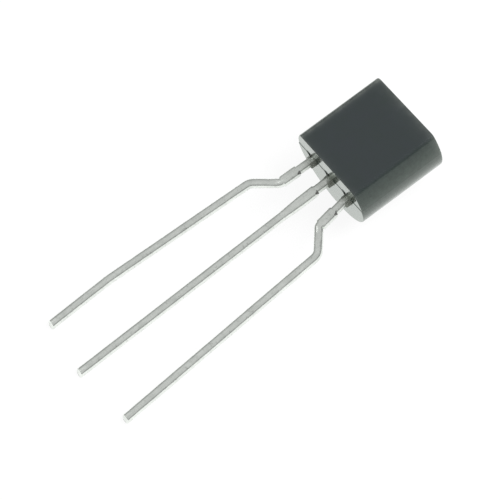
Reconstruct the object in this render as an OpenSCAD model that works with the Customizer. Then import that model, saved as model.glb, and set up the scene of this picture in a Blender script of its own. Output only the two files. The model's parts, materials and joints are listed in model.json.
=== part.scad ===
// Three-lead transistor in a half-round moulded case, lying on its back with the flat face up.
// Each piece is drawn upright first: case axis on Z, end face with the leads at z = 0, flat face
// towards -Y, leads hanging down. The whole is then laid on the case's lower rim and the lead tips.

/* [Case] */
// Width across the round part of the case
case_w = 4.6; // [3.8:0.05:5.6]
// Distance from the case's axis to its flat face
flat_from_axis = 1.27; // [1:0.01:1.6]
// Height of the case along its axis
case_h = 4.3; // [3.5:0.05:5.4]
// Radius of the rounded rims at the two ends of the case
rim_r = 0.08; // [0.05:0.01:0.12]

/* [Leads] */
// Spacing of the leads where they leave the case
lead_pitch = 1.27; // [1.05:0.01:1.55]
// Width of a lead across its front face
lead_w = 0.38; // [0.3:0.01:0.46]
// Thickness of a lead from front to back
lead_t = 0.36; // [0.3:0.01:0.44]
// Length of each lead that stays straight before the row leans back
exit_run = 0.25; // [0.15:0.01:0.35]
// Width of the shoulder that is left where the tie bar was cut away
shoulder_w = 0.49; // [0.47:0.01:0.6]
// Distance from the case to the start of the shoulder
shoulder_start = 0.83; // [0.65:0.01:1]
// Distance from the case to the end of the middle lead's shoulder
shoulder_end = 1.65; // [1.35:0.01:2]
// Length over which the middle lead narrows below its shoulder
middle_taper = 1; // [0.5:0.05:1.5]
// Length of the left lead outside the case
left_len = 13.3; // [11:0.05:16]
// Length of the middle lead outside the case
middle_len = 13.6; // [11:0.05:16.5]
// Length of the right lead outside the case
right_len = 13.25; // [11:0.05:16]

/* [Lead forming] */
// Angle at which the whole row leans towards the back of the case
lean_back = 2.6; // [0:0.1:4]
// Distance from the case to the first bend of the outer leads, where their shoulders end
first_bend_at = 1.74; // [1.4:0.01:2.1]
// Sideways shift of the left lead at its first bend
left_shift = 0.07; // [0:0.01:0.3]
// Sideways shift of the right lead at its first bend
right_shift = 0.21; // [0:0.01:0.3]
// Distance of the left lead from the case's axis at its second bend
left_spread = 2.26; // [1.9:0.01:2.75]
// Distance of the right lead from the case's axis at its second bend
right_spread = 2.52; // [2:0.01:3]
// Length of the left lead's slanted run, along the case's axis
left_run = 1.03; // [0.85:0.01:1.3]
// Length of the right lead's slanted run, along the case's axis
right_run = 0.83; // [0.7:0.01:1.05]
// Outward angle of the left lead below its second bend
left_splay = 3.7; // [0:0.1:6]
// Outward angle of the right lead below its second bend
right_splay = 2.9; // [0:0.1:6]
// Distance from the case to the slight kink in the left lead
left_kink_at = 10.1; // [8:0.05:10.5]
// Angle by which the kink turns the left lead back inwards
left_kink = 4.4; // [0.5:0.1:6]
// Radius of the first bend at the middle of a lead's width
first_bend_r = 0.2; // [0.16:0.01:0.25]
// Radius of the second bend at the middle of a lead's width
second_bend_r = 0.5; // [0.4:0.01:0.6]
// Radius of the kink at the middle of a lead's width
kink_r = 6; // [3:0.5:10]

/* [Inside the case] */
// Height of the die pad's lower edge above the end face
pad_bottom = 1.5; // [1:0.05:1.8]
// Width of the die pad
pad_w = 1.3; // [1:0.05:1.45]
// Height of the die pad
pad_h = 1.4; // [1.1:0.05:1.6]
// Width of the widened head of an outer lead
post_w = 0.56; // [0.5:0.01:0.68]
// Height of the widened head of an outer lead
post_h = 1; // [0.8:0.05:1.2]
// Side of the square silicon die
die_size = 0.5; // [0.4:0.01:0.6]
// Thickness of the die
die_t = 0.2; // [0.15:0.01:0.25]
// Thickness of the bonding layer under the die
attach_t = 0.03; // [0.02:0.005:0.05]
// Margin of the bonding layer around the die
attach_margin = 0.04; // [0.02:0.01:0.06]
// Diameter of a bond wire
wire_d = 0.05; // [0.03:0.005:0.06]
// Distance of each wire's foot on the die from the die's middle
wire_foot = 0.12; // [0.1:0.01:0.14]

/* [Hidden] */
$fn = 96;

case_r = case_w / 2;
lead_front = lead_t / 2;
narrow = lead_w / 2;
wide = shoulder_w / 2;
die_middle_z = pad_bottom + pad_h / 2;
post_bottom = die_middle_z - post_h / 2;
attach_face = lead_front + attach_t;
die_face = attach_face + die_t;
longest = max(left_len, middle_len, right_len);
// Room beyond the part for cutting and trimming blocks
clear = case_w + case_h;
// Straight pieces in each bend
bend_steps = 8;

// How far the row of leads has leaned back at a distance below the case
function lean_at(distance) = tan(lean_back) * max(distance - exit_run, 0);

// Lying position: the case's lower rim and the longest tip touch the surface
tip_back = lead_front + lean_at(longest);
rim_rise = case_r - rim_r - tip_back;
rim_reach = longest + rim_r;
rest_tilt = atan2(rim_rise, rim_reach) + asin(rim_r / norm([rim_rise, rim_reach]));
rest_lift = tip_back * cos(rest_tilt) + longest * sin(rest_tilt);
far_end = (case_r - rim_r) * sin(rest_tilt) + (case_h - rim_r) * cos(rest_tilt) + rim_r;
near_end = (tip_back - lead_t) * sin(rest_tilt) - longest * cos(rest_tilt);
left_reach = left_spread + (left_kink_at - first_bend_at - left_run) * tan(left_splay) + narrow;
right_reach = right_spread + (right_len - first_bend_at - right_run) * tan(right_splay) + narrow;

module lying() {
    translate([(left_reach - right_reach) / 2, -(far_end + near_end) / 2, rest_lift])
        rotate([rest_tilt - 90, 0, 0]) children();
}

// Lead outlines: a path of [x, z, half width], widened to both sides
function heading(a, b) = atan2(b[1] - a[1], b[0] - a[0]);
function left_of(angle) = [-sin(angle), cos(angle)];
function turn_between(a, b) = (b - a > 180) ? b - a - 360 : (b - a < -180) ? b - a + 360 : b - a;
function with_half_width(points, half) = [for (p = points) [p[0], p[1], half]];

// Points of a bend of one radius at a corner of the path
function bend(before, corner, after, radius) =
    let (
        angle_in = heading(before, corner),
        turn = turn_between(angle_in, heading(corner, after)),
        side = sign(turn) * radius,
        setback = radius * tan(abs(turn) / 2),
        start = corner - setback * [cos(angle_in), sin(angle_in)],
        middle = start + side * left_of(angle_in)
    )
    [for (i = [0:bend_steps]) middle - side * left_of(angle_in + turn * i / bend_steps)];

function path_side(path, side) = [
    for (i = [0:len(path) - 1])
        let (angle = heading(path[max(i - 1, 0)], path[min(i + 1, len(path) - 1)]))
        [path[i][0], path[i][1]] + side * path[i][2] * left_of(angle)
];

function reversed(list) = [for (i = [len(list) - 1:-1:0]) list[i]];
function strip(path) = concat(path_side(path, 1), reversed(path_side(path, -1)));

// Path of an outer lead on the +X side: head, exit, shoulder, two bends, kink and tip
function outer_path(shift, spread, run, splay, kink_at, kink, length) =
    let (
        exit = [lead_pitch, -exit_run],
        first = [lead_pitch + shift, -first_bend_at],
        second = [spread, -first_bend_at - run],
        knee = [spread + (kink_at - first_bend_at - run) * tan(splay), -kink_at],
        tip = [knee[0] + (length - kink_at) * tan(splay - kink), -length],
        along = (shoulder_start - exit_run) / (first_bend_at - exit_run),
        shoulder = exit + (first - exit) * along,
        first_bend = bend(exit, first, second, first_bend_r)
    )
    concat(
        with_half_width([[lead_pitch, post_bottom + narrow], exit, shoulder], narrow),
        with_half_width([shoulder, first_bend[0]], wide),
        with_half_width(first_bend, narrow),
        with_half_width(bend(first, second, knee, second_bend_r), narrow),
        kink == 0 ? [] : with_half_width(bend(second, knee, tip, kink_r), narrow),
        with_half_width([tip], narrow)
    );

middle_path = concat(
    with_half_width([[0, pad_bottom + narrow], [0, -shoulder_start]], narrow),
    with_half_width([[0, -shoulder_start], [0, -shoulder_end]], wide),
    with_half_width([[0, -shoulder_end - middle_taper], [0, -middle_len]], narrow)
);
left_path = outer_path(left_shift, left_spread, left_run, left_splay, left_kink_at, left_kink, left_len);
right_path = outer_path(right_shift, right_spread, right_run, right_splay, right_len / 2, 0, right_len);

// Sheet of the lead frame seen from the side, straight at the case and then leaning back
module sheet_seen_from_side() {
    end_shift = lean_at(longest + 1);
    rotate([90, 0, 90]) linear_extrude(height = 2 * clear, center = true) polygon([
        [-lead_front, clear], [lead_front, clear], [lead_front, -exit_run],
        [lead_front + end_shift, -longest - 1], [end_shift - lead_front, -longest - 1],
        [-lead_front, -exit_run]
    ]);
}

// Lead cut from the sheet: a strip along its path with a widened head inside the case
module cut_lead(path, head_x, head_bottom, head_w, head_h) {
    intersection() {
        sheet_seen_from_side();
        union() {
            rotate([90, 0, 0]) linear_extrude(height = 2 * clear, center = true) polygon(strip(path));
            translate([head_x - head_w / 2, -clear, head_bottom]) cube([head_w, 2 * clear, head_h]);
        }
    }
}

module left_lead_upright() {
    mirror([1, 0, 0]) cut_lead(left_path, lead_pitch, post_bottom, post_w, post_h);
}

module middle_lead_upright() {
    cut_lead(middle_path, 0, pad_bottom, pad_w, pad_h);
}

module right_lead_upright() {
    cut_lead(right_path, lead_pitch, post_bottom, post_w, post_h);
}

// Square block on the front of the die pad, between two distances from the lead plane
module block_on_pad(side, back, front) {
    translate([-side / 2, -front, die_middle_z - side / 2]) cube([side, front - back, side]);
}

module die_attach_upright() {
    block_on_pad(die_size + 2 * attach_margin, lead_front, attach_face);
}

module die_upright() {
    block_on_pad(die_size, attach_face, die_face);
}

// Bond wire on the +X side: one arc from the die's face to the head of the outer lead
module wire_upright() {
    span = lead_pitch - wire_foot;
    rise = die_face - lead_front;
    loop_r = (span * span + rise * rise) / (2 * span);
    loop_x = lead_pitch - loop_r;
    difference() {
        translate([loop_x, -lead_front, die_middle_z])
            rotate_extrude() translate([loop_r, 0]) circle(d = wire_d, $fn = 32);
        translate([loop_x - loop_r / 2, -lead_front, -clear]) cube([clear, clear, 2 * clear]);
        translate([loop_x - clear, -die_face, -clear]) cube([clear, clear, 2 * clear]);
    }
}

// Half of the case's outline from its axis outwards, with rounded rims
module case_profile() {
    core_r = case_r - rim_r;
    square([core_r, case_h]);
    translate([0, rim_r]) square([case_r, case_h - 2 * rim_r]);
    for (z = [rim_r, case_h - rim_r])
        translate([core_r, z]) circle(r = rim_r);
}

module epoxy_case() {
    color([0.25, 0.275, 0.275]) lying() difference() {
        rotate_extrude() case_profile();
        translate([-clear, -flat_from_axis - clear, -clear]) cube([2 * clear, clear, 3 * clear]);
        left_lead_upright();
        middle_lead_upright();
        right_lead_upright();
        die_attach_upright();
        die_upright();
        wire_upright();
        mirror([1, 0, 0]) wire_upright();
    }
}

module left_lead() {
    color([0.72, 0.73, 0.71]) lying() left_lead_upright();
}

module middle_lead() {
    color([0.72, 0.73, 0.71]) lying() middle_lead_upright();
}

module right_lead() {
    color([0.72, 0.73, 0.71]) lying() right_lead_upright();
}

module silicon_die() {
    color([0.35, 0.36, 0.42]) lying() die_upright();
}

module die_attach_layer() {
    color([0.8, 0.8, 0.76]) lying() die_attach_upright();
}

module left_bond_wire() {
    color([0.86, 0.66, 0.22]) lying() mirror([1, 0, 0]) wire_upright();
}

module right_bond_wire() {
    color([0.86, 0.66, 0.22]) lying() wire_upright();
}

epoxy_case();
left_lead();
middle_lead();
right_lead();
silicon_die();
die_attach_layer();
left_bond_wire();
right_bond_wire();
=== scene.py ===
"""Looks of a three-lead transistor in a half-round moulded case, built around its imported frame.

Every piece is drawn upright in millimetres: case axis on Z, end face with the leads at z = 0, flat face
towards -Y, leads hanging down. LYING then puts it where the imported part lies, in metres.
"""
import json
import math

import bmesh
import bpy
from mathutils import Matrix, Vector, noise


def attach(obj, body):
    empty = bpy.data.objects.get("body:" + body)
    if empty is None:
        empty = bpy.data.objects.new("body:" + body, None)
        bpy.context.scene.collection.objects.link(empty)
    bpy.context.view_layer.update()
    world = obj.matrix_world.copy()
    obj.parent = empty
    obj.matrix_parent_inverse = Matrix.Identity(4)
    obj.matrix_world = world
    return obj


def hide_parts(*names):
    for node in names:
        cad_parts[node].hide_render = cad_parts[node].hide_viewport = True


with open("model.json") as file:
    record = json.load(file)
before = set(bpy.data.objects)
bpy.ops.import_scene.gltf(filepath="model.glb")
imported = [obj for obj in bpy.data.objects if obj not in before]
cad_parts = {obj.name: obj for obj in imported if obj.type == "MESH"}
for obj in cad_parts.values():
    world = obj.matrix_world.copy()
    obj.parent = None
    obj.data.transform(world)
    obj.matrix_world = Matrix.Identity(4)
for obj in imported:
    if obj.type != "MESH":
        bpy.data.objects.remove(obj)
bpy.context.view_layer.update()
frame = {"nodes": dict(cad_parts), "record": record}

MM = 0.001
SHARP_EDGE = math.radians(38)

# Case, in millimetres
CASE_R = 2.3
FLAT_FROM_AXIS = 1.27
CASE_H = 4.3
FLAT_CORNER_R = 0.3
TOP_RIM_R = 0.06
END_RIM_R = 0.03
END_FACE_Z = 0.018
PARTING_Y = -0.2
SEAM_RIDGE = 0.003
SEAM_HALF_WIDTH = 0.03

# End face: the back half stands a little lower, except in a sunk pocket at the left of each lead
STEP_DROP = 0.02
STEP_SLOPE = 0.03
STEP_CORNER_R = 0.22
POCKET_GAP = 0.09
POCKET_DEPTH = 0.3
POCKET_SINK = 0.03
SINK_REACH = 0.16

# Wear of the case's edges: its strength, its ramp round the right corner, its reach in millimetres
WEAR_BY_CORNER, WEAR_BY_RIM, WEAR_BY_BOTH = 0.38, 0.5, 0.4
LEFT_CORNER_WEAR, RIGHT_CORNER_WEAR = 1.6, 0.2
RIGHT_WEAR_START, RIGHT_WEAR_END = -0.5, 1.25
END_RIM_WEAR, END_SIDE_WEAR = 0.5, 0.35
TOP_RIM_WEAR, TOP_FACE_WEAR = 1.0, 0.7
FLAT_WEAR_REACH = 0.07
END_WEAR_REACH = 0.12
TOP_WEAR_REACH = 0.16

# Turn of the outline away from the flat, as 1 + its normal's y, in which the flat's tone fades out
ROUND_SIDE_FADE = 0.9

# Mesh lines of the case: distances in millimetres, and how many lines a stretch has
FLAT_LINES = (0.0, 0.05, 0.1, 0.18, 0.35, 0.6, 1.0)
RIM_LINES = (0.06, 0.14, 0.26, 0.45, 0.8)
MIDDLE_FROM_RIM = 1.0
FACE_MARGIN = 0.02
CLOSE_VERTS = 0.001
CORNER_POINTS, BACK_POINTS = 8, 120
RIM_RINGS, MIDDLE_RINGS = 6, 8
PAD_LINES, POCKET_LINES, LEAD_LINES = 13, 5, 7
FRONT_LINES, BACK_LINES = 6, 33
PAD_LINE_MARGIN, LEAD_LINE_MARGIN = 0.02, 0.03
FRONT_LINE_MARGIN, BACK_LINE_MARGIN = 0.07, 0.04

# Leads, in millimetres
LEAD_PITCH = 1.27
EXITS = (-LEAD_PITCH, 0.0, LEAD_PITCH)
LEAD_W = 0.38
LEAD_T = 0.36
LEAD_EDGE_W = 0.15
LEAD_EDGE_T = 0.12
EXIT_RUN = 0.25
SHOULDER_W = 0.49
SHOULDER_START = 0.83
SHOULDER_END = 1.65
SHOULDER_STEP = 0.03
MIDDLE_TAPER = 1.0
LEFT_LEN, MIDDLE_LEN, RIGHT_LEN = 13.3, 13.6, 13.25
LEAN_BACK = math.radians(2.6)
LEFT_SHIFT, RIGHT_SHIFT = 0.07, 0.21
LEFT_SPREAD, RIGHT_SPREAD = 2.26, 2.52
LEFT_RUN, RIGHT_RUN = 1.03, 0.83
LEFT_SPLAY, RIGHT_SPLAY = math.radians(3.7), math.radians(2.9)
LEFT_KINK_AT = 10.1
LEFT_KINK = math.radians(4.4)
FIRST_BEND_AT = 1.74
FIRST_BEND_R = 0.2
SECOND_BEND_R = 0.5
KINK_R = 6.0
MARK_DEPTH = 0.04
MARK_REACH = 0.2
LEFT_MARK_DROP, RIGHT_MARK_DROP = 0.2, 0.3
TIP_SLANT = 0.14
TIP_SLANT_REACH = 0.4
TIP_EDGE = 0.025
# How far along a lead the painted shade near the case reaches
CASE_SHADE_REACH = 0.42

# Mesh of the leads: steps in millimetres, and a slight unevenness of the surface
STATION_STEP = 0.12
SAME_PLACE = 0.0001
BEND_STEPS = 10
TIP_RINGS = 4
EDGE_STEPS = 5
SURFACE_WAVE = 0.004
WAVES_PER_MM = 1.7
WAVE_SEED = 5

# Widened ends of the leads inside the case
PAD_BOTTOM, PAD_W, PAD_H = 1.5, 1.3, 1.4
POST_BOTTOM, POST_W, POST_H = 1.7, 0.56, 1.0

# Resin flash, coloured dark as painted shade beside each lead: how far it lies over and beyond a lead's
# edge, where it is from front to back, its length
RIGHT_FLASH_OVER, RIGHT_FLASH_BEYOND = 0.06, 0.05
RIGHT_FLASH_FRONT, RIGHT_FLASH_BACK = -0.175, 0.2
RIGHT_FLASH_LEN = 0.28
RIGHT_FLASH_TAPER = 0.9
LEFT_FLASH_OVER, LEFT_FLASH_BEYOND = 0.03, 0.09
LEFT_FLASH_FRONT, LEFT_FLASH_BACK = -0.03, 0.22
LEFT_FLASH_LEN = 0.2
LEFT_FLASH_TAPER = 0.8
FLASH_ROOT = 0.1

# Burr on each shoulder, in the same way
LEFT_BURR_SHIFT, RIGHT_BURR_SHIFT = -0.03, 0.08
BURR_OVER, BURR_BEYOND = 0.07, 0.03
BURR_FRONT, BURR_BACK = -0.2, -0.04
BURR_ABOVE, BURR_BELOW = 0.03, 0.1
BURR_TAPER = 0.6
WEDGE_ROUNDING = 0.25
WEDGE_STEPS = 3

# View of the photograph, whose frame is square, in millimetres
CAMERA_AIM = (0.130, -0.069, 1.5)
CAMERA_DISTANCE = 94.75
CAMERA_AZIMUTH = math.radians(64.36)
CAMERA_ELEVATION = math.radians(58.65)
CAMERA_ROLL = math.radians(-11.155)
SENSOR = 36.0
FOCAL_LENGTH = 160.2

# Stage, in metres, and levels of light
FLOOR_HALF = 2.0
FLOOR_SHADED, FLOOR_GLOW, FLOOR_BOUNCE = 0.13, 0.9, 0.8
HORIZON_LIGHT, OVERHEAD_LIGHT = 0.27, 0.61
SKY_RISE_LOW, SKY_RISE_HIGH = 0.25, 0.85
LAMP_DISTANCE = 0.3
VIEW_NEAR, VIEW_FAR = 0.001, 20.0


def lying_matrix():
    """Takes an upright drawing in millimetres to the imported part's place, in metres."""
    flat = next(m for m in frame["record"]["mounts"] if m["name"] == "front_flat")
    right = Vector((1, 0, 0))
    back = -Vector(flat["axis"]).normalized()
    up = right.cross(back)
    turn = Matrix((right, back, up)).transposed()
    flat_middle = Vector((0, -FLAT_FROM_AXIS, CASE_H / 2)) * MM
    place = Vector(flat["pos_m"]) - turn @ flat_middle
    return Matrix.Translation(place) @ turn.to_4x4() @ Matrix.Scale(MM, 4)


LYING = lying_matrix()


def smooth(amount):
    """Eases an amount from 0 to 1, flat at both ends."""
    t = min(max(amount, 0.0), 1.0)
    return t * t * (3 - 2 * t)


def spread(low, high, count):
    """Evenly spaced values from low to high, both included."""
    return [low + (high - low) * i / (count - 1) for i in range(count)]


class Value:
    """An output in a node tree. Arithmetic on it adds Math nodes, and node() adds any other node."""

    def __init__(self, tree, output=None):
        self.tree = tree
        self.output = output

    def node(self, kind, settings=(), values=(), output=0):
        """Adds a node: its settings first, then the values or links of its sockets."""
        made = self.tree.nodes.new(kind)
        for name, setting in dict(settings).items():
            setattr(made, name, setting)
        for name, value in dict(values).items():
            if isinstance(value, Value):
                self.tree.links.new(value.output, made.inputs[name])
            else:
                made.inputs[name].default_value = value
        return Value(self.tree, made.outputs[output] if made.outputs else None)

    def math(self, operation, first, second):
        """One Math node."""
        return self.node("ShaderNodeMath", {"operation": operation}, {0: first, 1: second})

    def __add__(self, other):
        return self.math("ADD", self, other)

    def __radd__(self, other):
        return self.math("ADD", other, self)

    def __sub__(self, other):
        return self.math("SUBTRACT", self, other)

    def __rsub__(self, other):
        return self.math("SUBTRACT", other, self)

    def __mul__(self, other):
        return self.math("MULTIPLY", self, other)

    def __rmul__(self, other):
        return self.math("MULTIPLY", other, self)

    def stretched(self, factors):
        """A vector with each part multiplied by its own factor."""
        return self.node("ShaderNodeVectorMath", {"operation": "MULTIPLY"}, {0: self, 1: factors})

    def between(self, low, high):
        """0 at and below low, 1 at and above high."""
        values = {"Value": self, "From Min": low, "From Max": high}
        return self.node("ShaderNodeMapRange", {"clamp": True}, values)

    def mix(self, first, second):
        """A colour between two, by this factor."""
        return self.node("ShaderNodeMix", {"data_type": "RGBA"}, {0: self, 6: first, 7: second}, output=2)

    def noise(self, scale, detail=3.0, roughness=0.55):
        """Cloudy noise from 0 to 1 at this place, with a scale per millimetre."""
        values = {"Vector": self, "Scale": scale, "Detail": detail, "Roughness": roughness}
        return self.node("ShaderNodeTexNoise", {"noise_dimensions": "3D"}, values, output="Fac")

    def stored(self, name):
        """A value that the mesh's points carry."""
        return self.node("ShaderNodeAttribute", {"attribute_name": name}, output="Fac")

    def bump(self, strength, height_mm):
        """A normal for a surface raised by this value times a height."""
        values = {"Height": self, "Strength": strength, "Distance": height_mm * MM}
        return self.node("ShaderNodeBump", {}, values)


def rgb(red, green, blue):
    """An opaque colour."""
    return (red, green, blue, 1.0)


def grey(level):
    """An opaque grey."""
    return rgb(level, level, level)


def new_finish(name):
    """An empty material, its tree, and the place on the piece in millimetres."""
    finish = bpy.data.materials.new(name)
    finish.use_nodes = True
    finish.node_tree.nodes.clear()
    tree = Value(finish.node_tree)
    place = tree.node("ShaderNodeTexCoord", output="Object").stretched((1 / MM,) * 3)
    return finish, tree, place


def close_finish(tree, **sockets):
    """Ends a material with one shader. An underscore in a socket's name stands for a space."""
    values = {name.replace("_", " "): value for name, value in sockets.items()}
    shader = tree.node("ShaderNodeBsdfPrincipled", {}, values)
    tree.node("ShaderNodeOutputMaterial", {}, {"Surface": shader})


# Finishes


def moulded_epoxy():
    """Dark moulding compound: slate flat, mottled olive round side, fine grain, edges rubbed lighter."""
    finish, tree, place = new_finish("moulded_epoxy")
    clouds = place.noise(0.8)
    patches = place.noise(2.6)
    dimples = place.noise(4.5)
    grain = place.noise(28.0, detail=2.0)
    polish = tree.stored("polish")
    rubbed = tree.stored("wear") * (0.5 + 0.5 * patches.between(0.35, 0.7))
    tone = (0.6 * clouds + 0.4 * patches).between(0.35, 0.65)
    slate = tone.mix(rgb(0.0125, 0.0195, 0.0225), rgb(0.0145, 0.0195, 0.027))
    olive = dimples.between(0.35, 0.65).mix(rgb(0.0055, 0.016, 0.011), rgb(0.0165, 0.0305, 0.0245))
    body = tree.stored("round_side").mix(slate, olive)
    colour = rubbed.mix(body, grey(0.165))
    roughness = 0.34 + 0.08 * grain + 0.1 * rubbed - 0.28 * polish
    normal = ((dimples + 0.1 * grain) * (1 - 0.95 * polish)).bump(0.5, 0.012)
    close_finish(
        tree, Base_Color=colour, Roughness=roughness, Normal=normal, IOR=1.5,
        Coat_Weight=1.0, Coat_IOR=1.4, Coat_Roughness=0.2, Coat_Tint=rgb(0.92, 1.0, 0.93),
    )
    return finish


def resin_flash_painted_shade():
    """Dull resin that crept along the leads in the mould, coloured dark as the painted shade and painted
    dark reflection beside each lead.
    """
    finish, tree, place = new_finish("resin_flash_painted_shade")
    mottle = place.noise(9.0)
    # These dark colours are painted shade and painted reflection beside each lead.
    colour = mottle.between(0.3, 0.7).mix(rgb(0.2, 0.22, 0.185), rgb(0.4, 0.43, 0.375))
    close_finish(
        tree, Base_Color=colour, IOR=1.45,
        Roughness=0.55 + 0.2 * mottle, Normal=mottle.bump(0.4, 0.01),
    )
    return finish


def dull_tin():
    """Tin plating: cloudy grey, faint draw lines along the lead, small pits, darker near the case as
    painted shade.
    """
    finish, tree, place = new_finish("dull_tin")
    clouds = place.noise(2.2)
    lines = place.stretched((1.0, 0.12, 1.0)).noise(14.0)
    pits = place.noise(9.0, detail=2.0).between(0.58, 0.72)
    tone = (0.55 * clouds + 0.45 * lines).between(0.3, 0.7)
    # Darker near the case: painted shade where the case shades the lead, broken up by mottling.
    shaded_near_case = tree.stored("painted_case_shade") * place.noise(8.0).between(0.25, 0.5)
    bright = tone.mix(rgb(0.72, 0.755, 0.715), rgb(0.95, 0.985, 0.94))
    pitted = (0.5 * pits).mix(bright, rgb(0.45, 0.46, 0.435))
    colour = shaded_near_case.mix(pitted, rgb(0.3, 0.32, 0.28))
    roughness = 0.18 + 0.14 * clouds + 0.1 * pits
    normal = (lines + 0.6 * clouds - 0.5 * pits).bump(0.2, 0.006)
    close_finish(tree, Base_Color=colour, Metallic=1.0, Roughness=roughness, Normal=normal)
    return finish


def burr_painted_shade():
    """Sheared burrs where the tie bar was cut, coloured dark as painted shade."""
    finish, tree, place = new_finish("burr_painted_shade")
    speckle = place.noise(16.0)
    # These dark colours are painted shade at each shoulder's corner.
    colour = speckle.between(0.3, 0.7).mix(rgb(0.1, 0.1, 0.095), rgb(0.3, 0.3, 0.29))
    close_finish(
        tree, Base_Color=colour, Metallic=0.6,
        Roughness=0.5 + 0.2 * speckle, Normal=speckle.bump(0.5, 0.01),
    )
    return finish


def polished_silicon():
    """Dark polished die with a faint grid of metal tracks."""
    finish, tree, place = new_finish("polished_silicon")
    grid = {"Vector": place, "Color1": grey(0), "Color2": grey(0), "Mortar": grey(1), "Scale": 6.0}
    tracks = tree.node("ShaderNodeTexBrick", {"offset": 0.0}, grid, output="Fac")
    film = place.noise(5.0)
    base = film.between(0.3, 0.7).mix(rgb(0.08, 0.09, 0.13), rgb(0.13, 0.13, 0.15))
    colour = (0.5 * tracks).mix(base, grey(0.55))
    close_finish(
        tree, Base_Color=colour, Metallic=0.5,
        Roughness=0.12 + 0.15 * tracks, Normal=tracks.bump(0.2, 0.002),
    )
    return finish


def silver_paste():
    """Grainy silver-filled paste under the die."""
    finish, tree, place = new_finish("silver_paste")
    flakes = place.noise(40.0)
    colour = flakes.between(0.3, 0.7).mix(rgb(0.42, 0.42, 0.39), rgb(0.72, 0.72, 0.68))
    close_finish(
        tree, Base_Color=colour, Metallic=0.7,
        Roughness=0.45 + 0.2 * flakes, Normal=flakes.bump(0.5, 0.004),
    )
    return finish


def gold_wire():
    """Drawn gold wire with faint lengthwise tone changes."""
    finish, tree, place = new_finish("gold_wire")
    drawn = place.stretched((0.3, 1.0, 1.0)).noise(30.0)
    colour = drawn.between(0.3, 0.7).mix(rgb(0.78, 0.53, 0.16), rgb(0.9, 0.66, 0.26))
    close_finish(
        tree, Base_Color=colour, Metallic=1.0,
        Roughness=0.18 + 0.12 * drawn, Normal=drawn.bump(0.2, 0.001),
    )
    return finish


# Building


def add_piece(name, shape, finish, slot, *stands_for):
    """Makes one visual piece from an upright drawing and ties it to the frame."""
    bmesh.ops.recalc_face_normals(shape, faces=shape.faces)
    shape.transform(LYING)
    mesh = bpy.data.meshes.new(name)
    shape.to_mesh(mesh)
    shape.free()
    mesh.shade_smooth()
    mesh.set_sharp_from_angle(angle=SHARP_EDGE)
    mesh.materials.append(finish)
    piece = bpy.data.objects.new(name, mesh)
    bpy.context.scene.collection.objects.link(piece)
    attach(piece, "root")
    if stands_for:
        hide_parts(*stands_for)


def join_rings(shape, rings):
    """Quads between each ring of vertices and the next."""
    for ring, after in zip(rings, rings[1:]):
        for i in range(len(ring)):
            j = (i + 1) % len(ring)
            shape.faces.new((ring[i], ring[j], after[j], after[i]))


# Case


def seam_ridge(y):
    """Height of the fine ridge where the mould's halves met."""
    return SEAM_RIDGE * math.exp(-(((y - PARTING_Y) / SEAM_HALF_WIDTH) ** 2))


def rim(radius):
    """A rounded rim from a face to the side: (distance from the face, inset from the side)."""
    turns = spread(0, math.pi / 2, RIM_RINGS)
    return [(radius * (1 - math.cos(a)), radius * (1 - math.sin(a))) for a in turns]


def case_outline():
    """Outline seen from the end, counter-clockwise from the flat: (point, outward normal, wear)."""
    reach = CASE_R - FLAT_CORNER_R
    drop = FLAT_FROM_AXIS - FLAT_CORNER_R
    half_flat = math.sqrt(reach**2 - drop**2)
    side = math.atan2(-drop, half_flat)
    outline = []

    def add_corner(x, angles, wears):
        for angle, wear in zip(angles, wears):
            normal = Vector((math.cos(angle), math.sin(angle)))
            outline.append((Vector((x, -drop)) + FLAT_CORNER_R * normal, normal, wear))

    flat_x = [-half_flat + d for d in FLAT_LINES] + [half_flat - d for d in reversed(FLAT_LINES)]
    for x in flat_x:
        wear = math.exp(-(half_flat - abs(x)) / FLAT_WEAR_REACH) if x < 0 else 0.0
        outline.append((Vector((x, -FLAT_FROM_AXIS)), Vector((0, -1)), wear))
    right_shares = spread(RIGHT_WEAR_START, RIGHT_WEAR_END, CORNER_POINTS)
    right_wears = [RIGHT_CORNER_WEAR * smooth(share) for share in right_shares]
    add_corner(half_flat, spread(-math.pi / 2, side, CORNER_POINTS + 1)[1:], right_wears)
    seam = [math.asin((PARTING_Y + SEAM_HALF_WIDTH * k) / CASE_R) for k in range(-3, 4)]
    back = spread(side, math.pi - side, BACK_POINTS + 1)[1:-1]
    for angle in sorted(back + seam + [math.pi - a for a in seam]):
        normal = Vector((math.cos(angle), math.sin(angle)))
        outline.append(((CASE_R + seam_ridge(CASE_R * normal.y)) * normal, normal, 0.0))
    left_wears = [LEFT_CORNER_WEAR] * CORNER_POINTS
    add_corner(-half_flat, spread(math.pi - side, 1.5 * math.pi, CORNER_POINTS + 1)[:-1], left_wears)
    return outline


def case_levels():
    """Heights of the rings from the end face to the top: (z, inset, wear)."""
    side_low, side_high = END_FACE_Z + END_RIM_R, CASE_H - TOP_RIM_R
    middle = spread(side_low + MIDDLE_FROM_RIM, side_high - MIDDLE_FROM_RIM, MIDDLE_RINGS)
    top_inset = TOP_RIM_R + FACE_MARGIN
    levels = [(END_FACE_Z, END_RIM_R + FACE_MARGIN, 0.0)]
    levels += [(END_FACE_Z + z, inset, END_RIM_WEAR) for z, inset in rim(END_RIM_R)]
    levels += [(side_low + d, 0.0, END_SIDE_WEAR * math.exp(-d / END_WEAR_REACH)) for d in RIM_LINES]
    levels += [(z, 0.0, 0.0) for z in middle]
    levels += [(side_high - d, 0.0, math.exp(-d / TOP_WEAR_REACH)) for d in reversed(RIM_LINES)]
    levels += [(CASE_H - z, inset, TOP_RIM_WEAR) for z, inset in reversed(rim(TOP_RIM_R))]
    levels += [(CASE_H, top_inset, TOP_FACE_WEAR), (CASE_H, top_inset + TOP_WEAR_REACH, 0.0)]
    return levels


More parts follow.
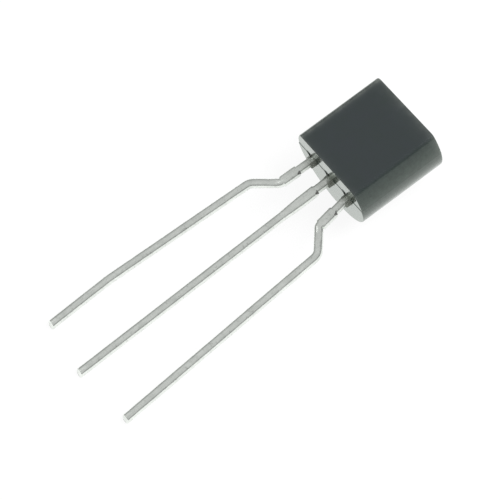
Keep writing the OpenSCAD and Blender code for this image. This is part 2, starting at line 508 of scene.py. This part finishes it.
def end_face_height(x, y):
    """Height of the end face at a place: its back half stands lower, the pockets are sunk in."""
    half = LEAD_W / 2
    starts = [-2 * CASE_R] + [e + half for e in EXITS]
    ends = [e - half - POCKET_GAP for e in EXITS] + [2 * CASE_R]
    inside = y - POCKET_DEPTH
    for start, end in zip(starts, ends):
        depth = min(x - start, end - x, y - PARTING_Y)
        corner_x, corner_y = end - STEP_CORNER_R, PARTING_Y + STEP_CORNER_R
        if x > corner_x and y < corner_y:
            depth = min(depth, STEP_CORNER_R - math.hypot(x - corner_x, y - corner_y))
        inside = max(inside, depth)
    lowered = smooth(inside / STEP_SLOPE)
    beside = min(max(e - half - POCKET_GAP - x, x - e + half, 0.0) for e in EXITS)
    before = max(PARTING_Y - y, 0.0)
    sunk = smooth(1 - beside / SINK_REACH) * smooth(1 - before / SINK_REACH)
    return POCKET_SINK * sunk * (1 - lowered) - STEP_DROP * lowered


def end_face_lines():
    """Where the end face is cut, so that its step and pockets have points to bend at: (all x, all y)."""
    half = LEAD_W / 2
    across = []
    for exit_x in EXITS:
        left, right = exit_x - half, exit_x + half
        pad_end = left - POCKET_GAP
        across += spread(pad_end - STEP_CORNER_R, pad_end + PAD_LINE_MARGIN, PAD_LINES)
        across += spread(left, left + SINK_REACH, POCKET_LINES)
        across += spread(right - LEAD_LINE_MARGIN, right + STEP_SLOPE + LEAD_LINE_MARGIN, LEAD_LINES)
    pocket_end = POCKET_DEPTH + STEP_SLOPE
    along = spread(PARTING_Y - SINK_REACH, PARTING_Y - FRONT_LINE_MARGIN, FRONT_LINES)
    along += spread(PARTING_Y - BACK_LINE_MARGIN, pocket_end + BACK_LINE_MARGIN, BACK_LINES)
    return across, along


def cut_face(shape, face, across, along):
    """Cuts one flat face into a grid at the given x and y."""
    pieces = [face]
    for places, direction in ((across, Vector((1, 0, 0))), (along, Vector((0, 1, 0)))):
        for place in places:
            edges = {e for f in pieces for e in f.edges}
            verts = {v for f in pieces for v in f.verts}
            cut = bmesh.ops.bisect_plane(
                shape, geom=[*pieces, *edges, *verts], plane_co=direction * place, plane_no=direction,
            )
            pieces = [g for g in cut["geom"] if isinstance(g, bmesh.types.BMFace)]


def case_shape():
    """Half-round case with rounded rims, rounded flat corners, a seam and a stepped end face."""
    shape = bmesh.new()
    wear_layer = shape.verts.layers.float.new("wear")
    polish_layer = shape.verts.layers.float.new("polish")
    round_layer = shape.verts.layers.float.new("round_side")
    outline = case_outline()
    rings = []
    for z, inset, rim_wear in case_levels():
        ring = []
        for point, normal, wear in outline:
            x, y = point - inset * normal
            vert = shape.verts.new((x, y, z))
            both = wear * rim_wear
            vert[wear_layer] = WEAR_BY_CORNER * wear + WEAR_BY_RIM * rim_wear + WEAR_BY_BOTH * both
            vert[round_layer] = smooth((1 + normal.y) / ROUND_SIDE_FADE)
            ring.append(vert)
        rings.append(ring)
    join_rings(shape, rings)
    end_face = shape.faces.new(list(reversed(rings[0])))
    top_face = shape.faces.new(rings[-1])
    seam_lines = [PARTING_Y + SEAM_HALF_WIDTH * k / 2 for k in range(-4, 5)]
    cut_face(shape, top_face, [], seam_lines)
    cut_face(shape, end_face, *end_face_lines())
    bmesh.ops.remove_doubles(shape, verts=shape.verts, dist=CLOSE_VERTS)
    many_sided = [f for f in shape.faces if len(f.verts) > 4]
    bmesh.ops.triangulate(shape, faces=many_sided, ngon_method="BEAUTY")
    for vert in shape.verts:
        x, y, z = vert.co
        if z < END_FACE_Z + END_RIM_R:
            share = 1 - (z - END_FACE_Z) / END_RIM_R
            vert[polish_layer] = share
            vert.co.z += end_face_height(x, y) * share
        elif z > CASE_H - TOP_RIM_R / 2:
            vert.co.z += seam_ridge(y)
    return shape


# Leads


def heading(a, b):
    """Direction from one point to another."""
    return (b - a).normalized()


def bend(before, corner, after, radius):
    """Points of a bend of one radius at a corner of a path."""
    into, out = heading(before, corner), heading(corner, after)
    turn = math.atan2(into.x * out.y - into.y * out.x, into.dot(out))
    start = corner - into * radius * math.tan(abs(turn) / 2)
    side = Vector((-into.y, into.x)) * math.copysign(radius, turn)
    middle = start + side
    return [middle - Matrix.Rotation(turn * i / BEND_STEPS, 2) @ side for i in range(BEND_STEPS + 1)]


def wide(points, half):
    """Points of a path, each with the same half width."""
    return [(p, half) for p in points]


def outer_path(shift, spread_x, run, splay, length, kink_at=None, kink=0.0):
    """Path of an outer lead on the +X side as (point in XZ, half width), from its head to its tip."""
    narrow, shoulder = LEAD_W / 2, SHOULDER_W / 2
    exit_end = Vector((LEAD_PITCH, -EXIT_RUN))
    first = Vector((LEAD_PITCH + shift, -FIRST_BEND_AT))
    second = Vector((spread_x, -FIRST_BEND_AT - run))
    knee_at = length if kink_at is None else kink_at
    knee = second + Vector((math.tan(splay), -1)) * (knee_at - FIRST_BEND_AT - run)
    tip = knee + Vector((math.tan(splay - kink), -1)) * (length - knee_at)
    along = heading(exit_end, first)
    start = exit_end + along * ((SHOULDER_START - EXIT_RUN) / -along.y)
    first_bend = bend(exit_end, first, second, FIRST_BEND_R)
    head_top = Vector((LEAD_PITCH, POST_BOTTOM + POST_H))
    head_low = Vector((LEAD_PITCH, POST_BOTTOM))
    path = wide([head_top, head_low], POST_W / 2)
    path += wide([head_low, exit_end, start - along * SHOULDER_STEP / 2], narrow)
    path += wide([start + along * SHOULDER_STEP / 2, first_bend[0] - along * SHOULDER_STEP], shoulder)
    path += wide(first_bend + bend(first, second, knee, SECOND_BEND_R), narrow)
    if kink_at is not None:
        path += wide(bend(second, knee, tip, KINK_R), narrow)
    return path + wide([tip], narrow)


def mirrored(path):
    """The same path on the -X side."""
    return [(Vector((-p.x, p.y)), half) for p, half in path]


def middle_path():
    """Path of the straight middle lead, from the die pad to its tip."""
    narrow, shoulder = LEAD_W / 2, SHOULDER_W / 2
    rows = [
        (PAD_BOTTOM + PAD_H, PAD_W / 2), (PAD_BOTTOM, PAD_W / 2), (PAD_BOTTOM, narrow),
        (SHOULDER_STEP / 2 - SHOULDER_START, narrow), (-SHOULDER_STEP / 2 - SHOULDER_START, shoulder),
        (-SHOULDER_END, shoulder), (-SHOULDER_END - MIDDLE_TAPER, narrow), (-MIDDLE_LEN, narrow),
    ]
    return [(Vector((0, z)), half) for z, half in rows]


def stations(path):
    """Closely spaced stations along a path: (point, direction, half width, distance from the tip)."""
    spots = []
    for (a, half_a), (b, half_b) in zip(path, path[1:]):
        count = max(1, math.ceil((b - a).length / STATION_STEP))
        spots += [(a.lerp(b, i / count), half_a + (half_b - half_a) * i / count) for i in range(count)]
    tip, tip_half = path[-1]
    into_tip = heading(spots[-1][0], tip)
    spots = [s for s in spots if (s[0] - tip).length > 2 * TIP_EDGE]
    tip_turns = spread(0, math.pi / 2, TIP_RINGS)
    spots += [(tip - into_tip * TIP_EDGE * math.cos(a), tip_half) for a in tip_turns]
    result = []
    for i, (point, half) in enumerate(spots):
        before = next((p for p, _ in reversed(spots[:i]) if (p - point).length > SAME_PLACE), point)
        after = next((p for p, _ in spots[i + 1:] if (p - point).length > SAME_PLACE), point)
        result.append((point, heading(before, after), half, (point - tip).length))
    return result


def section(half, deep):
    """Rectangle with crowned edges across a lead: (sideways, front to back)."""
    x, y = half - LEAD_EDGE_W, deep - LEAD_EDGE_T
    corners = [(x, y, 0), (-x, y, 90), (-x, -y, 180), (x, -y, 270)]
    points = []
    for x, y, angle in corners:
        for a in spread(math.radians(angle), math.radians(angle + 90), EDGE_STEPS + 1):
            points.append((x + LEAD_EDGE_W * math.cos(a), y + LEAD_EDGE_T * math.sin(a)))
    return points


def pressed_in(z, mark_z):
    """Depth of the forming tool's mark at a height on the front of a lead."""
    return MARK_DEPTH * math.exp(-(((z - mark_z) / MARK_REACH) ** 2))


def lead_shape(path, mark_z=None):
    """Lead swept along its path, leaning back below the case, with crowned edges and a slanted tip.

    The forming tool leaves a shallow mark on the front where an outer lead is bent.
    """
    shape = bmesh.new()
    painted_case_shade_layer = shape.verts.layers.float.new("painted_case_shade")
    rings = []
    for point, ahead, half, from_tip in stations(path):
        rounding = 1 - math.sqrt(1 - max(0.0, 1 - from_tip / TIP_EDGE) ** 2)
        deep = LEAD_T / 2 - TIP_EDGE * rounding
        slant = TIP_SLANT * max(0.0, 1 - from_tip / TIP_SLANT_REACH)
        lean = math.tan(LEAN_BACK) * max(-point.y - EXIT_RUN, 0.0)
        side = Vector((-ahead.y, 0, ahead.x))
        ring = []
        for across, depth in section(half - TIP_EDGE * rounding, deep):
            to_front = 0.5 - depth / LEAD_T
            spot = point - ahead * (slant * to_front)
            place = Vector((spot.x, lean + depth, spot.y)) + side * across
            if mark_z is not None:
                place.y += pressed_in(place.z, mark_z) * to_front
            wave = noise.noise_vector(place * WAVES_PER_MM) * SURFACE_WAVE
            vert = shape.verts.new(place + wave)
            # Painted shade near the case, strongest at the exit and fading along the lead.
            vert[painted_case_shade_layer] = math.exp(-max(0.0, -point.y) / CASE_SHADE_REACH)
            ring.append(vert)
        rings.append(ring)
    join_rings(shape, rings)
    shape.faces.new(rings[0])
    shape.faces.new(rings[-1])
    return shape


# Small leftovers of moulding and trimming, whose dark finishes are painted shade


def add_wedge(shape, low, high, taper):
    """Rounded block whose lower end, towards -Z, draws in by a taper in x and y."""
    made = bmesh.ops.create_cube(shape, size=1.0)["verts"]
    middle = (Vector(low) + Vector(high)) / 2
    size = Vector(high) - Vector(low)
    for vert in made:
        x, y, z = vert.co
        draw = taper if z < 0 else 1.0
        vert.co = middle + Vector((x * size.x * draw, y * size.y * draw, z * size.z))
    edges = {e for v in made for e in v.link_edges}
    rounding = WEDGE_ROUNDING * min(size)
    bmesh.ops.bevel(
        shape, geom=[*made, *edges], offset=rounding, segments=WEDGE_STEPS, affect="EDGES", profile=0.5,
    )


def flash_shape():
    """Resin that crept along both sides of each lead where it leaves the case; its dark finish is painted
    shade.
    """
    shape = bmesh.new()
    for exit_x in EXITS:
        left, right = exit_x - LEAD_W / 2, exit_x + LEAD_W / 2
        low = (right - RIGHT_FLASH_OVER, RIGHT_FLASH_FRONT, -RIGHT_FLASH_LEN)
        high = (right + RIGHT_FLASH_BEYOND, RIGHT_FLASH_BACK, FLASH_ROOT)
        add_wedge(shape, low, high, RIGHT_FLASH_TAPER)
        low = (left - LEFT_FLASH_BEYOND, LEFT_FLASH_FRONT, -LEFT_FLASH_LEN)
        high = (left + LEFT_FLASH_OVER, LEFT_FLASH_BACK, FLASH_ROOT)
        add_wedge(shape, low, high, LEFT_FLASH_TAPER)
    return shape


def burr_shape():
    """Sheared burr at the upper right corner of each shoulder, where the tie bar was cut off; its dark
    finish is painted shade.
    """
    shape = bmesh.new()
    z = -SHOULDER_START
    for shoulder_x in (-LEAD_PITCH + LEFT_BURR_SHIFT, 0.0, LEAD_PITCH + RIGHT_BURR_SHIFT):
        edge = shoulder_x + SHOULDER_W / 2
        low = (edge - BURR_OVER, BURR_FRONT, z - BURR_BELOW)
        high = (edge + BURR_BEYOND, BURR_BACK, z + BURR_ABOVE)
        add_wedge(shape, low, high, BURR_TAPER)
    return shape


def add_object():
    """The transistor: case, leads, leftovers of making coloured dark as painted shade, and finishes for
    what is inside.
    """
    noise.seed_set(WAVE_SEED)
    epoxy, tin = moulded_epoxy(), dull_tin()
    left = outer_path(LEFT_SHIFT, LEFT_SPREAD, LEFT_RUN, LEFT_SPLAY, LEFT_LEN, LEFT_KINK_AT, LEFT_KINK)
    right = outer_path(RIGHT_SHIFT, RIGHT_SPREAD, RIGHT_RUN, RIGHT_SPLAY, RIGHT_LEN)
    left_lead = lead_shape(mirrored(left), -FIRST_BEND_AT - LEFT_MARK_DROP)
    right_lead = lead_shape(right, -FIRST_BEND_AT - RIGHT_MARK_DROP)
    add_piece("moulded_case", case_shape(), epoxy, "case_epoxy", "epoxy_case")
    add_piece("left_tinned_lead", left_lead, tin, "tinned_lead", "left_lead")
    add_piece("middle_tinned_lead", lead_shape(middle_path()), tin, "tinned_lead", "middle_lead")
    add_piece("right_tinned_lead", right_lead, tin, "tinned_lead", "right_lead")
    add_piece("resin_flash_painted_shade", flash_shape(), resin_flash_painted_shade(), "case_epoxy")
    add_piece("tie_bar_burrs", burr_shape(), burr_painted_shade(), "tinned_lead")
    gold = gold_wire()
    inside = {
        "silicon_die": polished_silicon(), "die_attach_layer": silver_paste(),
        "left_bond_wire": gold, "right_bond_wire": gold,
    }
    for node, finish in inside.items():
        mesh = frame["nodes"][node].data
        mesh.materials.clear()
        mesh.materials.append(finish)


# Stage


def white_floor():
    """Pale floor that shows as white in the picture and in reflections, and keeps a faint shadow."""
    finish = bpy.data.materials.new("white_floor")
    finish.use_nodes = True
    finish.node_tree.nodes.clear()
    tree = Value(finish.node_tree)
    kinds = ("Is Camera Ray", "Is Glossy Ray", "Is Transmission Ray")
    camera, glossy, through = (tree.node("ShaderNodeLightPath", output=kind) for kind in kinds)
    shown = (camera + glossy + through).between(0.0, 1.0)
    shaded = tree.node("ShaderNodeBsdfDiffuse", {}, {"Color": grey(FLOOR_SHADED)})
    glow = tree.node("ShaderNodeEmission", {}, {"Color": grey(1.0), "Strength": FLOOR_GLOW})
    white = tree.node("ShaderNodeAddShader", {}, {0: shaded, 1: glow})
    pale = tree.node("ShaderNodeBsdfDiffuse", {}, {"Color": grey(FLOOR_BOUNCE)})
    surface = tree.node("ShaderNodeMixShader", {}, {0: shown, 1: pale, 2: white})
    tree.node("ShaderNodeOutputMaterial", {}, {"Surface": surface})
    return finish


def add_floor():
    """A wide floor under the part."""
    shape = bmesh.new()
    bmesh.ops.create_grid(shape, x_segments=1, y_segments=1, size=FLOOR_HALF)
    mesh = bpy.data.meshes.new("floor")
    shape.to_mesh(mesh)
    shape.free()
    mesh.materials.append(white_floor())
    floor = bpy.data.objects.new("floor", mesh)
    bpy.context.scene.collection.objects.link(floor)


def add_sky():
    """Soft room light, brighter overhead than at the horizon."""
    world = bpy.data.worlds.new("room_light")
    world.use_nodes = True
    world.node_tree.nodes.clear()
    tree = Value(world.node_tree)
    direction = tree.node("ShaderNodeTexCoord", output="Generated")
    height = tree.node("ShaderNodeSeparateXYZ", {}, {0: direction}, output="Z")
    rise = height.between(SKY_RISE_LOW, SKY_RISE_HIGH)
    level = tree.node("ShaderNodeBackground", {}, {"Color": grey(1.0), "Strength": HORIZON_LIGHT})
    overhead = tree.node("ShaderNodeBackground", {}, {"Color": grey(1.0), "Strength": OVERHEAD_LIGHT})
    sky = tree.node("ShaderNodeMixShader", {}, {0: rise, 1: level, 2: overhead})
    tree.node("ShaderNodeOutputWorld", {}, {"Surface": sky})
    bpy.context.scene.world = world


def add_lamp(name, direction, size, power, in_reflections=True):
    """A round lamp that points at the part from a direction, in metres and watts."""
    lamp = bpy.data.lights.new(name, "AREA")
    lamp.shape = "DISK"
    lamp.size = size
    lamp.energy = power
    box = bpy.data.objects.new(name, lamp)
    away = Vector(direction).normalized()
    box.location = away * LAMP_DISTANCE
    box.rotation_euler = away.to_track_quat("Z", "Y").to_euler()
    box.visible_glossy = in_reflections
    bpy.context.scene.collection.objects.link(box)


def add_camera():
    """Camera at the photograph's angle, rolled as the photograph is."""
    lens = bpy.data.cameras.new("photo_view")
    lens.sensor_width = SENSOR
    lens.lens = FOCAL_LENGTH
    lens.clip_start = VIEW_NEAR
    lens.clip_end = VIEW_FAR
    camera = bpy.data.objects.new("photo_view", lens)
    level = math.cos(CAMERA_ELEVATION)
    back = Vector((
        math.sin(CAMERA_AZIMUTH) * level, -math.cos(CAMERA_AZIMUTH) * level, math.sin(CAMERA_ELEVATION),
    ))
    turn = back.to_track_quat("Z", "Y").to_matrix() @ Matrix.Rotation(CAMERA_ROLL, 3, "Z")
    place = (Vector(CAMERA_AIM) + back * CAMERA_DISTANCE) * MM
    camera.matrix_world = Matrix.Translation(place) @ turn.to_4x4()
    bpy.context.scene.collection.objects.link(camera)
    bpy.context.scene.camera = camera


add_object()
add_floor()
add_sky()
add_lamp("softbox", direction=(0.45, 0.45, 0.77), size=0.2, power=0.75, in_reflections=False)
add_lamp("small_lamp", direction=(-0.469, -0.398, 0.788), size=0.04, power=0.02)
add_camera()
bpy.context.scene.view_settings.view_transform = "Standard"
